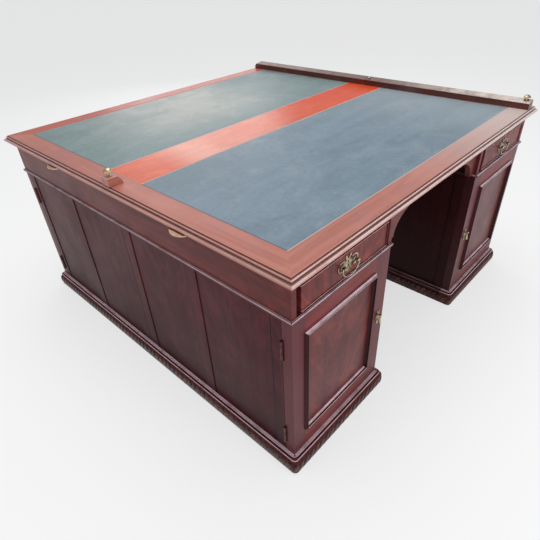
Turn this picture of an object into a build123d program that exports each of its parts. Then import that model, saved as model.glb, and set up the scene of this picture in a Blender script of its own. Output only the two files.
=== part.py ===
"""Partners' writing desk: two double-depth pedestals with cupboards on both faces, a frieze
with a drawer over each cupboard, and a leather-lined top with a low gallery along one end.

X runs along the kneehole faces, Y from the front partner's side (-Y) to the rear one (+Y),
Z up from the floor. Pieces that repeat at the four corners are modelled at the front left
and mirrored. Millimetres."""
import os

from build123d import *

os.makedirs("parts", exist_ok=True)

# Overall
desk_length = 1590.0  # X, over the edge moulding
desk_depth = 1600.0  # Y, over the edge moulding
desk_height = 770.0  # floor to writing surface

# Levels of the carcase
plinth_height = 62.0
top_rail = 34.0  # above the drawers
cap_thickness = 10.0
top_thickness = 24.0
top_overhang = 30.0  # edge moulding beyond the frieze
plinth_overhang = 23.0
cap_overhang = 7.0
pedestal_width = 458.0
board = 20.0  # thickness of frieze and side boards

# Writing surface
border_width = 90.0
strip_width = 188.0
leather_thickness = 1.2
leather_recess = 0.8
panel_seat = leather_thickness + leather_recess  # groundwork below the surface
tooling_clear = 0.4  # leather to the wood round it

# Gallery and its knobs
gallery_width = 40.0
gallery_face = 25.0
gallery_rise = 36.0
gallery_inset = 16.0  # ends, from the edge moulding
gallery_gap = 1.5
gallery_slope = 26.0  # rear end cut down
block_length = 52.0
block_width = 42.0
block_height = 28.0
centre_set = -18.0  # block and small knob, beside the centre joint
knob_diameter = 29.0
knob_neck = 8.0
knob_height = 26.0
knob_end = 21.0  # from the end of the rail
small_knob = 15.0  # on the rail beside the joint
small_neck = 4.5
small_height = 12.0
tab_length = 72.0
tab_reach = 15.0  # beyond the edge moulding
tab_thickness = 4.0
tab_front = -390.0
tab_rear = 355.0

# Frieze and drawers
frieze_recess = 12.0  # rails and stiles behind the corner posts
stile_width = 13.0
rail_thickness = 20.0
drawer_lift = 7.0  # opening above the ledge
drawer_opening = 83.0
drawer_gap = 0.6
drawer_proud = 3.0
drawer_front_thickness = 22.0
bead_width = 3.2
drawer_depth = 620.0
drawer_board = 11.0
drawer_bottom = 6.0
side_drop = 6.0  # sides below the top of the opening
drawer_bottom_lift = 6.0  # groove above the lower edge of the sides
runner_height = 12.0
runner_width = 18.0
side_play = 0.8
slide_gap = 0.3
apron_foot = 32.0
apron_crown = 41.0  # wood left over the arch
arch_reach = 130.0
bearer_width = 60.0

# Pedestal joinery
corner_stile = 38.0
middle_stile = 50.0
centre_stile = 48.0
flat_panel_recess = 3.0
flat_panel_thickness = 12.0
cupboard_board = 18.0
shelf_lift = 250.0  # above the floor board
shelf_setback = 30.0
shelf_play = 0.5
batten = 16.0
plinth_rail = 70.0
plinth_step = 46.0  # top of the carved tier
plinth_bead = 56.0
plinth_round = 9.0
plinth_corner = 14.0
divider = 18.0

# Doors
door_thickness = 34.0
door_gap = 2.0
hinge_gap = 0.5
joint_gap = 0.4  # the line down the middle of each end
hinge_stile = 54.0
pull_stile = 76.0
door_rail = 64.0
foot_rail = 81.0
mould_lap = 5.0  # bolection moulding on the frame
mould_width = 13.0
mould_height = 11.0
mould_crest = 3.0  # rounded ridge
mould_foot = 2.0
panel_recess = 2.5
panel_thickness = 10.0
panel_groove = 9.0
groove_slack = 1.0

# Hinges
hinge_length = 72.0
hinge_below_top = 72.0
hinge_above_foot = 40.0
leaf_width = 19.0
leaf_thickness = 1.4
knuckle_radius = 4.5
pin_radius = 1.8
pin_fit = 0.05
pin_stand = 2.5  # pin axis beyond the end face
knuckle_gap = 0.3

# Brass handles
plate_thickness = 1.6
stud_pitch = 58.0
stud_radius = 3.2
stud_reach = 10.0
stud_ball = 5.6
bail_radius = 2.0
bail_drop = 33.0
bail_clear = 0.3
bail_knop = 3.6  # ball at the middle of the bail
pull_inset = 30.0  # from the closing edge of the door
pull_stud_reach = 9.0
pull_stud_radius = 2.8
pull_ball = 5.0
pull_stud_lift = 14.0  # stud above the middle of the plate
drop_length = 34.0
drop_wire = 1.5
drop_ball = 5.4

# Derived planes
end_x = desk_length / 2 - top_overhang
face_y = desk_depth / 2 - top_overhang
inner_x = end_x - pedestal_width
left_x = -(end_x + inner_x) / 2  # middle of the left pedestal
frieze_top = desk_height - top_thickness
drawer_high = frieze_top - top_rail
drawer_low = drawer_high - drawer_opening
ledge_height = drawer_low - drawer_lift  # top of the pedestal caps, where the frieze stands
cap_bottom = ledge_height - cap_thickness
door_low = plinth_height + door_gap
door_high = cap_bottom - door_gap
door_back = face_y - door_thickness
carcase_y = door_back - hinge_gap
recess_y = face_y - frieze_recess
opening_width = pedestal_width - 2 * (board + stile_width)
opening_left = left_x - opening_width / 2
opening_right = left_x + opening_width / 2
leather_x = desk_length / 2 - border_width
leather_y = desk_depth / 2 - border_width

CORNERS = {
    "front_left": (),
    "front_right": (Plane.YZ,),
    "rear_left": (Plane.XZ,),
    "rear_right": (Plane.YZ, Plane.XZ),
}


def export_corners(piece, node):
    """Write one node for each corner, mirrored from the front left."""
    for corner, mirrors in CORNERS.items():
        copy = piece.part
        for about in mirrors:
            copy = mirror(copy, about=about)
        copy.label = f"{node}_{corner}"
        export_step(copy, f"parts/{copy.label}.step")


def gather(*pieces):
    """Keep the separate boards of one assembly side by side, unfused."""
    return Compound(children=[solid for piece in pieces for solid in piece.part.solids()])


# ---------------------------------------------------------------- writing surface

edge = desk_length / 2
edge_out = desk_depth / 2


def edge_profile(outer):
    """Edge board section, X outward: thumb, cove and ovolo over a small undercut."""
    inner = outer - border_width
    top = desk_height
    under = desk_height - top_thickness
    with BuildLine() as outline:
        Polyline((outer - 30, under), (inner, under), (inner, top), (outer - 15, top))
        Polyline((outer - 15, top), (outer - 15, top - 3), (outer - 13, top - 3))
        RadiusArc((outer - 13, top - 3), (outer - 9, top - 7), 4)
        Line((outer - 9, top - 7), (outer - 11.5, top - 7.5))
        RadiusArc((outer - 11.5, top - 7.5), (outer - 8, top - 11.5), -4.5)
        RadiusArc((outer - 8, top - 11.5), (outer, top - 18), 9)
        Polyline((outer, top - 18), (outer, top - 20), (outer - 9, top - 21.5))
        RadiusArc((outer - 9, top - 21.5), (outer - 14, under), -6)
        Line((outer - 14, under), (outer - 30, under))
    return outline.line


with BuildPart() as top_frame:
    # Two boards along X, mitred, then two along Y.
    with BuildSketch(Plane.YZ.offset(-edge)):
        with BuildLine():
            add(edge_profile(edge_out))
        make_face()
    extrude(amount=desk_length)
    with BuildSketch(Plane.XY.offset(frieze_top - 1)):
        with BuildLine():
            Polyline((-edge, edge_out), (edge, edge_out), (edge - border_width, leather_y),
                     (border_width - edge, leather_y), close=True)
        make_face()
    extrude(amount=top_thickness + 2, mode=Mode.INTERSECT)
    mirror(about=Plane.XZ)
with BuildPart() as end_boards:
    with BuildSketch(Plane.XZ.offset(-edge_out)):
        with BuildLine():
            add(edge_profile(edge))
        make_face()
    extrude(amount=desk_depth)
    with BuildSketch(Plane.XY.offset(frieze_top - 1)):
        with BuildLine():
            Polyline((edge, -edge_out), (edge, edge_out), (leather_x, leather_y),
                     (leather_x, -leather_y), close=True)
        make_face()
    extrude(amount=top_thickness + 2, mode=Mode.INTERSECT)
    mirror(about=Plane.YZ)
top_frame.part = gather(top_frame, end_boards)
top_frame.part.label = "top_frame"
export_step(top_frame.part, "parts/top_frame.step")

with BuildPart() as centre_strip:
    with BuildSketch(Plane.XY.offset(frieze_top)):
        Rectangle(2 * leather_x, strip_width)
    extrude(amount=top_thickness)
centre_strip.part.label = "centre_strip"
export_step(centre_strip.part, "parts/centre_strip.step")

panel_span = leather_y - strip_width / 2
panel_y_middle = (leather_y + strip_width / 2) / 2
with BuildPart() as top_panels:
    with BuildSketch(Plane.XY.offset(frieze_top)):
        with Locations((0, panel_y_middle), (0, -panel_y_middle)):
            Rectangle(2 * leather_x, panel_span)
    extrude(amount=top_thickness - panel_seat)
top_panels.part.label = "top_panels"
export_step(top_panels.part, "parts/top_panels.step")

with BuildPart() as leathers:
    with BuildSketch(Plane.XY.offset(desk_height - panel_seat)):
        with Locations((0, panel_y_middle), (0, -panel_y_middle)):
            Rectangle(2 * (leather_x - tooling_clear), panel_span - 2 * tooling_clear)
    extrude(amount=leather_thickness)
leathers.part.label = "leathers"
export_step(leathers.part, "parts/leathers.step")

# ---------------------------------------------------------------- gallery, block and knobs

gallery_x = leather_x
rail_x = gallery_x + gallery_width / 2
rail_seat = desk_height + gallery_face + 3
knob_y = -edge_out + gallery_inset + knob_end
small_x = gallery_x + small_knob / 2 + 4
gallery_rear = edge_out - gallery_inset
with BuildPart() as gallery_rails:
    with BuildSketch(Plane.XZ.offset(-edge_out + gallery_inset)):
        with BuildLine():
            # Square face to the leather, a small nosing, then a slope up to the rounded back.
            base = desk_height
            nose = base + gallery_face - 3
            crest = base + gallery_rise
            gallery_back = gallery_x + gallery_width
            Polyline((gallery_x, base), (gallery_x, nose), (gallery_x - 2, nose + 1))
            RadiusArc((gallery_x - 2, nose + 1), (gallery_x + 1, nose + 5), 3)
            Line((gallery_x + 1, nose + 5), (gallery_back - 10, crest))
            RadiusArc((gallery_back - 10, crest), (gallery_back, crest - 8), 10)
            Polyline((gallery_back, crest - 8), (gallery_back, base), (gallery_x, base))
        make_face()
    extrude(amount=desk_depth - 2 * gallery_inset)
    with Locations((rail_x, 0, desk_height)):
        Box(2 * gallery_width, gallery_gap, 4 * gallery_rise, mode=Mode.SUBTRACT)
    with BuildSketch(Plane.YZ.offset(gallery_x - 5)):
        with BuildLine():
            Polyline((gallery_rear - gallery_slope, crest + 1), (gallery_rear + 1, crest + 1),
                     (gallery_rear + 1, base + 14), close=True)
        make_face()
    extrude(amount=gallery_width + 10, mode=Mode.SUBTRACT)
    with Locations((rail_x, knob_y, rail_seat + gallery_rise)):
        Cylinder(knob_neck + 1.5, 2 * gallery_rise, mode=Mode.SUBTRACT)
    with Locations((small_x, centre_set, rail_seat + gallery_rise)):
        Cylinder(small_neck + 1, 2 * gallery_rise, mode=Mode.SUBTRACT)
gallery_rails.part.label = "gallery_rails"
export_step(gallery_rails.part, "parts/gallery_rails.step")

block_x = -edge + 11 + block_length / 2
with BuildPart() as centre_block:
    with BuildSketch(Plane.XZ.offset(-centre_set - block_width / 2)):
        with BuildLine():
            left = block_x - block_length / 2
            right = block_x + block_length / 2
            crown = desk_height + block_height
            Polyline((right, desk_height), (left, desk_height), (left, crown), (left + 32, crown))
            RadiusArc((left + 32, crown), (right, desk_height), 46)
        make_face()
    extrude(amount=block_width)
centre_block.part.label = "centre_block"
export_step(centre_block.part, "parts/centre_block.step")


def knob_outline(width, height, neck):
    """Half section of a domed mushroom knob on a collared neck, from its seat up."""
    cap = height * 0.42
    lip = 2.4
    dome = cap - lip
    rim = width / 2 - lip / 2
    with BuildLine() as outline:
        Polyline((0, 0), (neck * 0.95, 0), (neck * 0.95, 1.5), (neck / 2, 3), (neck / 2, height - cap - 3),
                 (rim, height - cap))
        ThreePointArc((rim, height - cap), (width / 2, height - dome - lip / 2), (rim, height - dome))
        RadiusArc((rim, height - dome), (0, height), -(rim**2 + dome**2) / (2 * dome))
        Line((0, height), (0, 0))
    return outline.line


knob_seats = [
    (block_x - 8, centre_set, desk_height + block_height, knob_diameter, knob_height, knob_neck),
    (rail_x, knob_y, rail_seat, knob_diameter, knob_height, knob_neck),
    (small_x, centre_set, rail_seat, small_knob, small_height, small_neck),
]
with BuildPart() as knobs:
    for x, y, z, width, height, neck in knob_seats:
        with BuildSketch(Plane((x, y, z), x_dir=(1, 0, 0), z_dir=(0, -1, 0))):
            with BuildLine():
                add(knob_outline(width, height, neck))
            make_face()
        revolve(axis=Axis((x, y, z), (0, 0, 1)))
knobs.part.label = "knobs"
export_step(knobs.part, "parts/knobs.step")

tab_shoulder = 4.0 - edge  # where the round nose starts, under the moulding
with BuildPart() as edge_tabs:
    for y in (tab_front, tab_rear):
        with BuildSketch(Plane.XY.offset(frieze_top - tab_thickness)):
            with BuildLine():
                ThreePointArc((tab_shoulder, y + tab_length / 2), (-edge - tab_reach, y),
                              (tab_shoulder, y - tab_length / 2))
                Polyline((tab_shoulder, y - tab_length / 2), (-end_x, y - tab_length / 2),
                         (-end_x, y + tab_length / 2), (tab_shoulder, y + tab_length / 2))
            make_face()
        extrude(amount=tab_thickness)
edge_tabs.part.label = "edge_tabs"
export_step(edge_tabs.part, "parts/edge_tabs.step")

# ---------------------------------------------------------------- frieze

frieze_height = frieze_top - ledge_height
rail_y = -recess_y + rail_thickness / 2

with BuildPart() as frieze_sides:
    # End boards and kneehole boards; their ends show on the faces as the posts.
    with Locations((-end_x + board / 2, 0, ledge_height + frieze_height / 2),
                   (-inner_x - board / 2, 0, ledge_height + frieze_height / 2)):
        Box(board, 2 * face_y, frieze_height)
    mirror(about=Plane.YZ)
frieze_sides.part.label = "frieze_sides"
export_step(frieze_sides.part, "parts/frieze_sides.step")

with BuildPart() as drawer_rails:
    with Locations((left_x, rail_y, frieze_top - top_rail / 2)):
        Box(pedestal_width - 2 * board, rail_thickness, top_rail)
    mirror(about=Plane.YZ)
    mirror(about=Plane.XZ)
with BuildPart() as drawer_stiles:
    with Locations((opening_left - stile_width / 2, rail_y, (ledge_height + drawer_high) / 2),
                   (opening_right + stile_width / 2, rail_y, (ledge_height + drawer_high) / 2)):
        Box(stile_width, rail_thickness, drawer_high - ledge_height)
    mirror(about=Plane.YZ)
    mirror(about=Plane.XZ)
drawer_rails.part = gather(drawer_rails, drawer_stiles)
drawer_rails.part.label = "drawer_surrounds"
export_step(drawer_rails.part, "parts/drawer_surrounds.step")

arch_side = inner_x - apron_foot
arch_rise = frieze_height - apron_crown
arch_flat = arch_side - arch_reach
with BuildPart() as aprons:
    with BuildSketch(Plane.XZ.offset(recess_y)):
        with BuildLine():
            Polyline((-arch_side, ledge_height), (-inner_x, ledge_height), (-inner_x, frieze_top),
                     (inner_x, frieze_top), (inner_x, ledge_height), (arch_side, ledge_height))
            EllipticalCenterArc((arch_flat, ledge_height), arch_reach, arch_rise, start_angle=0, arc_size=90)
            Line((arch_flat, ledge_height + arch_rise), (-arch_flat, ledge_height + arch_rise))
            EllipticalCenterArc((-arch_flat, ledge_height), arch_reach, arch_rise,
                                start_angle=90, arc_size=90)
        make_face()
    extrude(amount=-rail_thickness)
    mirror(about=Plane.XZ)
aprons.part.label = "aprons"
export_step(aprons.part, "parts/aprons.step")

runner_top = ledge_height + runner_height
guide_front = recess_y - rail_thickness
guide_length = guide_front - board / 2
guide_y = -board / 2 - guide_length / 2
guide_height = 2.5 * runner_height
box_front = face_y - drawer_front_thickness  # back of the drawer front
box_back = box_front - drawer_depth
left_runner = opening_left + runner_width / 2
right_runner = opening_right - runner_width / 2

with BuildPart() as guides:
    with Locations((opening_left - stile_width / 2, guide_y, ledge_height + guide_height / 2),
                   (opening_right + stile_width / 2, guide_y, ledge_height + guide_height / 2)):
        Box(stile_width, guide_length, guide_height)
    mirror(about=Plane.YZ)
    mirror(about=Plane.XZ)
with BuildPart() as runners:
    with Locations((left_runner, guide_y, ledge_height + runner_height / 2),
                   (right_runner, guide_y, ledge_height + runner_height / 2)):
        Box(runner_width, guide_length, runner_height)
    mirror(about=Plane.YZ)
    mirror(about=Plane.XZ)
with BuildPart() as stops:
    stop = 14.0
    with Locations((left_runner, -box_back + slide_gap + stop / 2, runner_top + stop / 2),
                   (right_runner, -box_back + slide_gap + stop / 2, runner_top + stop / 2)):
        Box(runner_width, stop, stop)
    mirror(about=Plane.YZ)
    mirror(about=Plane.XZ)
guides.part = gather(guides, runners, stops)
guides.part.label = "drawer_runners"
export_step(guides.part, "parts/drawer_runners.step")

with BuildPart() as frieze_bearers:
    # Partition between front and rear drawers, and the bearer under the centre strip.
    with Locations((left_x, 0, ledge_height + frieze_height / 2)):
        Box(pedestal_width - 2 * board, board, frieze_height)
    mirror(about=Plane.YZ)
    with Locations((0, 0, frieze_top - top_rail / 2)):
        Box(2 * inner_x, bearer_width, top_rail)
frieze_bearers.part.label = "frieze_bearers"
export_step(frieze_bearers.part, "parts/frieze_bearers.step")

# ---------------------------------------------------------------- pedestals

with BuildPart() as pedestal_caps:
    with BuildSketch(Plane.XY.offset(cap_bottom)):
        with Locations((left_x, 0)):
            Rectangle(pedestal_width + 2 * cap_overhang, 2 * (face_y + cap_overhang))
    extrude(amount=cap_thickness)
    fillet(pedestal_caps.edges().filter_by(Axis.Z).group_by(Axis.X)[-1], radius=cap_overhang)
    fillet(pedestal_caps.faces().sort_by(Axis.Z)[-1].edges(), radius=cap_thickness * 0.4)
    fillet(pedestal_caps.faces().sort_by(Axis.Z)[0].edges(), radius=cap_thickness * 0.4)
    mirror(about=Plane.YZ)
pedestal_caps.part.label = "pedestal_caps"
export_step(pedestal_caps.part, "parts/pedestal_caps.step")

carcase_height = cap_bottom - plinth_height
carcase_mid = plinth_height + carcase_height / 2
flat_width = (carcase_y - corner_stile - middle_stile - centre_stile) / 2
middle_y = centre_stile + flat_width + middle_stile / 2
end_board = -end_x + board / 2
kneehole_board = -inner_x - board / 2
pin_x = -end_x - pin_stand
pin_y = hinge_gap / 2 - door_back  # half way between door and carcase
knuckle_clear = knuckle_radius + 0.4
hinge_middles = (door_high - hinge_below_top - hinge_length / 2,
                 door_low + hinge_above_foot + hinge_length / 2)

with BuildPart() as pedestal_stiles:
    with Locations((end_board, corner_stile / 2 - carcase_y, carcase_mid),
                   (kneehole_board, corner_stile / 2 - carcase_y, carcase_mid)):
        Box(board, corner_stile, carcase_height)
    with Locations((end_board, -middle_y, carcase_mid), (kneehole_board, -middle_y, carcase_mid)):
        Box(board, middle_stile, carcase_height)
    centre_y = -(centre_stile + joint_gap / 2) / 2
    with Locations((end_board, centre_y, carcase_mid), (kneehole_board, centre_y, carcase_mid)):
        Box(board, centre_stile - joint_gap / 2, carcase_height)
    long_edges = pedestal_stiles.edges().filter_by(Axis.Z).group_by(Axis.X)
    chamfer(long_edges[0] + long_edges[-1], length=1.2)
    # Room for the hinges: the fixed leaf is let in flush and the knuckle turns in a hollow.
    for middle in hinge_middles:
        with Locations((-end_x + leaf_width / 2, leaf_thickness / 2 - carcase_y, middle)):
            Box(leaf_width, leaf_thickness, hinge_length, mode=Mode.SUBTRACT)
        with Locations((pin_x, pin_y, middle)):
            Cylinder(knuckle_clear, hinge_length + 2, mode=Mode.SUBTRACT)
    mirror(about=Plane.XZ)
    mirror(about=Plane.YZ)
pedestal_stiles.part.label = "pedestal_stiles"
export_step(pedestal_stiles.part, "parts/pedestal_stiles.step")

flat_x = -end_x + flat_panel_recess + flat_panel_thickness / 2
flat_knee = -inner_x - flat_panel_recess - flat_panel_thickness / 2
flat_outer_y = corner_stile + flat_width / 2 - carcase_y
flat_inner_y = -centre_stile - flat_width / 2
with BuildPart() as pedestal_panels:
    with Locations((flat_x, flat_outer_y, carcase_mid), (flat_x, flat_inner_y, carcase_mid),
                   (flat_knee, flat_outer_y, carcase_mid), (flat_knee, flat_inner_y, carcase_mid)):
        Box(flat_panel_thickness, flat_width, carcase_height)
    mirror(about=Plane.XZ)
    mirror(about=Plane.YZ)
pedestal_panels.part.label = "pedestal_panels"
export_step(pedestal_panels.part, "parts/pedestal_panels.step")

cupboard_width = pedestal_width - 2 * board
floor_top = plinth_height + cupboard_board
shelf_height = floor_top + shelf_lift
with BuildPart() as cupboard_boards:
    with Locations((left_x, 0, plinth_height + cupboard_board / 2)):
        Box(cupboard_width, 2 * carcase_y, cupboard_board)
    mirror(about=Plane.YZ)
with BuildPart() as cupboard_backs:
    with Locations((left_x, 0, (floor_top + cap_bottom) / 2)):
        Box(cupboard_width, divider, cap_bottom - floor_top)
    mirror(about=Plane.YZ)
cupboard_boards.part = gather(cupboard_boards, cupboard_backs)
cupboard_boards.part.label = "cupboard_boards"
export_step(cupboard_boards.part, "parts/cupboard_boards.step")

shelf_depth = carcase_y - divider / 2 - shelf_setback
shelf_y = -divider / 2 - shelf_depth / 2
with BuildPart() as shelves:
    with Locations((left_x, shelf_y, shelf_height + cupboard_board / 2)):
        Box(cupboard_width - 2 * shelf_play, shelf_depth, cupboard_board)
    mirror(about=Plane.XZ)
    mirror(about=Plane.YZ)
with BuildPart() as shelf_battens:
    reach = cupboard_width / 2 - batten / 2
    with Locations((left_x - reach, shelf_y, shelf_height - batten / 2),
                   (left_x + reach, shelf_y, shelf_height - batten / 2)):
        Box(batten, shelf_depth, batten)
    mirror(about=Plane.XZ)
    mirror(about=Plane.YZ)
shelves.part = gather(shelves, shelf_battens)
shelves.part.label = "shelves"
export_step(shelves.part, "parts/shelves.step")

# ---------------------------------------------------------------- plinths

plinth_tiers = [  # low, high, overhang and top rounding
    (0, plinth_step, plinth_overhang, plinth_round),
    (plinth_step, plinth_bead, plinth_overhang - 5, 3.0),
    (plinth_bead, plinth_height, plinth_overhang - 13, 2.5),
]
plinth_half_width = pedestal_width / 2 + plinth_overhang
plinth_half_depth = face_y + plinth_overhang
with BuildPart() as plinth_ring:
    for low, high, reach, rounding in plinth_tiers:
        with BuildSketch(Plane.XY.offset(low)):
            with Locations((left_x, 0)):
                RectangleRounded(pedestal_width + 2 * reach, 2 * (face_y + reach), plinth_corner)
        extrude(amount=high - low)
        fillet(plinth_ring.faces().sort_by(Axis.Z)[-1].edges(), radius=rounding)
    with BuildSketch():
        with Locations((left_x, 0)):
            Rectangle(2 * (plinth_half_width - plinth_rail), 2 * (plinth_half_depth - plinth_rail))
    extrude(amount=plinth_height, mode=Mode.SUBTRACT)
# The ring is four boards mitred at the corners.
outer_corner = (plinth_half_width, plinth_half_depth)
inner_corner = (plinth_half_width - plinth_rail, plinth_half_depth - plinth_rail)
with BuildPart() as plinths:
    add(plinth_ring.part)
    with BuildSketch(Plane((left_x, 0, 0))):
        for way in (-1, 1):
            with BuildLine():
                Polyline((way * outer_corner[0], -outer_corner[1]), (way * outer_corner[0], outer_corner[1]),
                         (way * inner_corner[0], inner_corner[1]), (way * inner_corner[0], -inner_corner[1]),
                         close=True)
            make_face()
    extrude(amount=plinth_height, mode=Mode.INTERSECT)
    mirror(about=Plane.YZ)
with BuildPart() as plinth_ends:
    add(plinth_ring.part)
    with BuildSketch(Plane((left_x, 0, 0))):
        for way in (-1, 1):
            with BuildLine():
                Polyline((-outer_corner[0], way * outer_corner[1]), (outer_corner[0], way * outer_corner[1]),
                         (inner_corner[0], way * inner_corner[1]), (-inner_corner[0], way * inner_corner[1]),
                         close=True)
            make_face()
    extrude(amount=plinth_height, mode=Mode.INTERSECT)
    mirror(about=Plane.YZ)
plinths.part = gather(plinths, plinth_ends)
plinths.part.label = "plinths"
export_step(plinths.part, "parts/plinths.step")

# ---------------------------------------------------------------- doors

door_mid = (door_low + door_high) / 2
door_height = door_high - door_low
door_y = -(face_y + door_back) / 2
panel_left = -end_x + hinge_stile
panel_right = -inner_x - pull_stile
panel_low = door_low + foot_rail
panel_high = door_high - door_rail
panel_x = (panel_left + panel_right) / 2
panel_mid = (panel_low + panel_high) / 2
panel_width = panel_right - panel_left
panel_height = panel_high - panel_low
panel_front = face_y - panel_recess
panel_y = -panel_front + panel_thickness / 2

with BuildPart() as panel_slot:
    with Locations((panel_x, panel_y, panel_mid)):
        Box(panel_width + 2 * panel_groove, panel_thickness, panel_height + 2 * panel_groove)
with BuildPart() as door_stiles:
    with Locations((panel_left - hinge_stile / 2, door_y, door_mid)):
        Box(hinge_stile, door_thickness, door_height)
    with Locations((panel_right + pull_stile / 2, door_y, door_mid)):
        Box(pull_stile, door_thickness, door_height)
    add(panel_slot.part, mode=Mode.SUBTRACT)
    for middle in hinge_middles:
        with Locations((-end_x + leaf_width / 2, -door_back - leaf_thickness / 2, middle)):
            Box(leaf_width, leaf_thickness, hinge_length, mode=Mode.SUBTRACT)
        with Locations((pin_x, pin_y, middle)):
            Cylinder(knuckle_clear, hinge_length + 2, mode=Mode.SUBTRACT)
with BuildPart() as door_rails:
    with Locations((panel_x, door_y, door_low + foot_rail / 2)):
        Box(panel_width, door_thickness, foot_rail)
    with Locations((panel_x, door_y, door_high - door_rail / 2)):
        Box(panel_width, door_thickness, door_rail)
    add(panel_slot.part, mode=Mode.SUBTRACT)
door_stiles.part = gather(door_stiles, door_rails)
export_corners(door_stiles, "door_frame")

with BuildPart() as door_panel:
    with Locations((panel_x, panel_y, panel_mid)):
        Box(panel_width + 2 * (panel_groove - groove_slack), panel_thickness,
            panel_height + 2 * (panel_groove - groove_slack))
export_corners(door_panel, "door_panel")


def moulding_section(way):
    """Bolection section: inward across the frame, outward from the door face.

    A hollow slope climbs to a narrow rounded ridge, and a steeper hollow falls to the panel.
    """
    shoulder = mould_height - 1
    outer_ridge = mould_width * 0.4
    inner_ridge = outer_ridge + mould_crest
    step = 1.2 - panel_recess
    with BuildLine() as outline:
        Polyline((0, 0), (way * mould_lap, 0), (way * mould_lap, -panel_recess),
                 (way * mould_width, -panel_recess), (way * mould_width, step))
        RadiusArc((way * mould_width, step), (way * inner_ridge, shoulder), way * 18)
        RadiusArc((way * inner_ridge, shoulder), (way * outer_ridge, shoulder), -way * mould_crest * 0.6)
        RadiusArc((way * outer_ridge, shoulder), (0, mould_foot), way * 18)
        Line((0, mould_foot), (0, 0))
    return outline.line


mould_half_width = panel_width / 2 + mould_lap
mould_half_height = panel_height / 2 + mould_lap
inner_half_width = mould_half_width - mould_width
inner_half_height = mould_half_height - mould_width
upright = Plane((panel_x - mould_half_width, -face_y, door_low), x_dir=(1, 0, 0), z_dir=(0, 0, 1))
with BuildPart() as mould_sides:
    with BuildSketch(upright):
        with BuildLine():
            add(mirror(moulding_section(1), about=Plane.XZ))
        make_face()
    extrude(amount=door_height)
    with BuildSketch(Plane.XZ.offset(panel_front - 1)):
        with BuildLine():
            Polyline((panel_x - mould_half_width, panel_mid - mould_half_height),
                     (panel_x - mould_half_width, panel_mid + mould_half_height),
                     (panel_x - inner_half_width, panel_mid + inner_half_height),
                     (panel_x - inner_half_width, panel_mid - inner_half_height), close=True)
        make_face()
    extrude(amount=mould_height + panel_recess + 2, mode=Mode.INTERSECT)
    mirror(about=Plane.YZ.offset(panel_x))
across = Plane((-end_x, -face_y, panel_mid - mould_half_height), x_dir=(0, 0, 1), z_dir=(1, 0, 0))
with BuildPart() as mould_ends:
    with BuildSketch(across):
        with BuildLine():
            add(moulding_section(1))
        make_face()
    extrude(amount=pedestal_width)
    with BuildSketch(Plane.XZ.offset(panel_front - 1)):
        with BuildLine():
            Polyline((panel_x - mould_half_width, panel_mid - mould_half_height),
                     (panel_x + mould_half_width, panel_mid - mould_half_height),
                     (panel_x + inner_half_width, panel_mid - inner_half_height),
                     (panel_x - inner_half_width, panel_mid - inner_half_height), close=True)
        make_face()
    extrude(amount=mould_height + panel_recess + 2, mode=Mode.INTERSECT)
    mirror(about=Plane.XY.offset(panel_mid))
mould_sides.part = gather(mould_sides, mould_ends)
export_corners(mould_sides, "door_moulding")

# ---------------------------------------------------------------- hinges

knuckle = (hinge_length - 2 * knuckle_gap) / 3
knuckle_pitch = knuckle + knuckle_gap


def hinge_leaf(middle, y, knuckle_offsets):
    """A leaf let in flush, its knuckles on the pin axis and the necks that join them."""
    with Locations((-end_x + leaf_width / 2, y, middle)):
        Box(leaf_width, leaf_thickness, hinge_length)
    with Locations((pin_x, pin_y, middle)):
        Cylinder(knuckle_clear, hinge_length + 2, mode=Mode.SUBTRACT)
    for offset in knuckle_offsets:
        with Locations((pin_x, pin_y, middle + offset)):
            Cylinder(knuckle_radius, knuckle)
        with Locations((pin_x + knuckle_clear / 2 + 1, y, middle + offset)):
            Box(knuckle_clear + 2, leaf_thickness, knuckle)


with BuildPart() as hinge_fixed:
    for middle in hinge_middles:
        hinge_leaf(middle, leaf_thickness / 2 - carcase_y, (-knuckle_pitch, knuckle_pitch))
        with Locations((pin_x, pin_y, middle)):
            Cylinder(pin_radius, hinge_length + 1)
    mirror(about=Plane.YZ)
    mirror(about=Plane.XZ)
hinge_fixed.part.label = "hinge_fixed_leaves"
export_step(hinge_fixed.part, "parts/hinge_fixed_leaves.step")

with BuildPart() as hinge_moving:
    for middle in hinge_middles:
        hinge_leaf(middle, -door_back - leaf_thickness / 2, (0,))
        with Locations((pin_x, pin_y, middle)):
            Cylinder(pin_radius + pin_fit, knuckle + 2, mode=Mode.SUBTRACT)
export_corners(hinge_moving, "hinge_leaves")

# ---------------------------------------------------------------- drawers

drawer_mid = (drawer_low + drawer_high) / 2
front_width = opening_width - 2 * drawer_gap
front_height = drawer_opening - 2 * drawer_gap
with BuildPart() as drawer_face:
    with Locations((left_x, -(face_y + box_front) / 2, drawer_mid)):
        Box(front_width, drawer_front_thickness, front_height)
    with BuildSketch(Plane.XZ.offset(face_y)):
        with Locations((left_x, drawer_mid)):
            Rectangle(front_width, front_height)
            Rectangle(front_width - 2 * bead_width, front_height - 2 * bead_width, mode=Mode.SUBTRACT)
    extrude(amount=drawer_proud)
    bead_edges = drawer_face.faces().sort_by(Axis.Y)[0].edges()
    fillet(bead_edges, radius=bead_width * 0.45)
export_corners(drawer_face, "drawer_face")

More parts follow.
